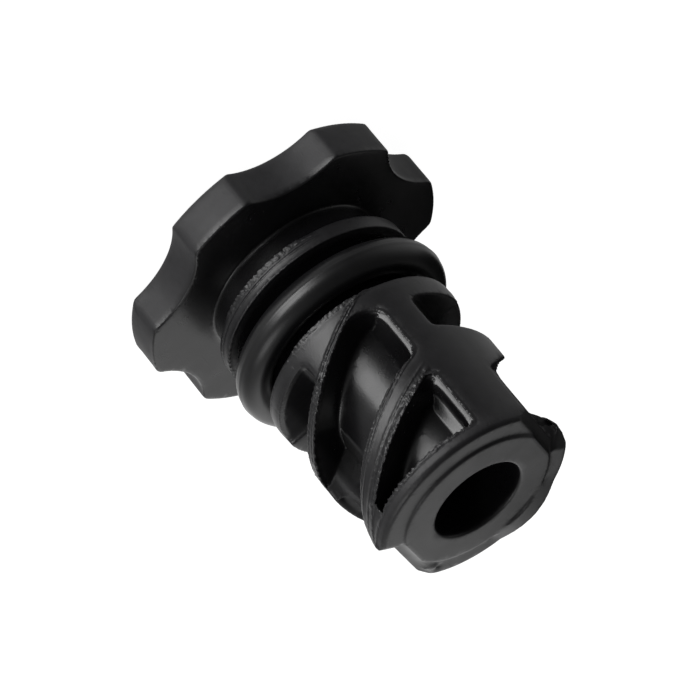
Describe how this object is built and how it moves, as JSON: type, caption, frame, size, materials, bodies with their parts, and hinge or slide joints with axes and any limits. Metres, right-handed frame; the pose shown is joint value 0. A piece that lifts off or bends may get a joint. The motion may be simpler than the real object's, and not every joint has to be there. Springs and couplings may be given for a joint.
{
  "type": "transmission dipstick cap",
  "caption": "Screw-in cap for a dipstick tube: lobed grip head, groove with a sealing ring, and a shank with quick-thread grooves, side pockets, flats and a blind bore.",
  "frame": {"origin": "centre of the grip head's outer face, on the axis of the shank", "axes": "+Z along the axis from the head to the open end of the bore; X across the two flats; Y along the pull of the two mould slides"},
  "size_m": [0.0402, 0.041, 0.045],
  "materials": {
    "moulded_plastic": "satin black moulded plastic with glossy groove walls",
    "ring_rubber": "smooth black rubber with a soft sheen"
  },
  "bodies": {
    "root": {"cap_body": "moulded_plastic", "o_ring": "ring_rubber"}
  },
  "joints": []
}
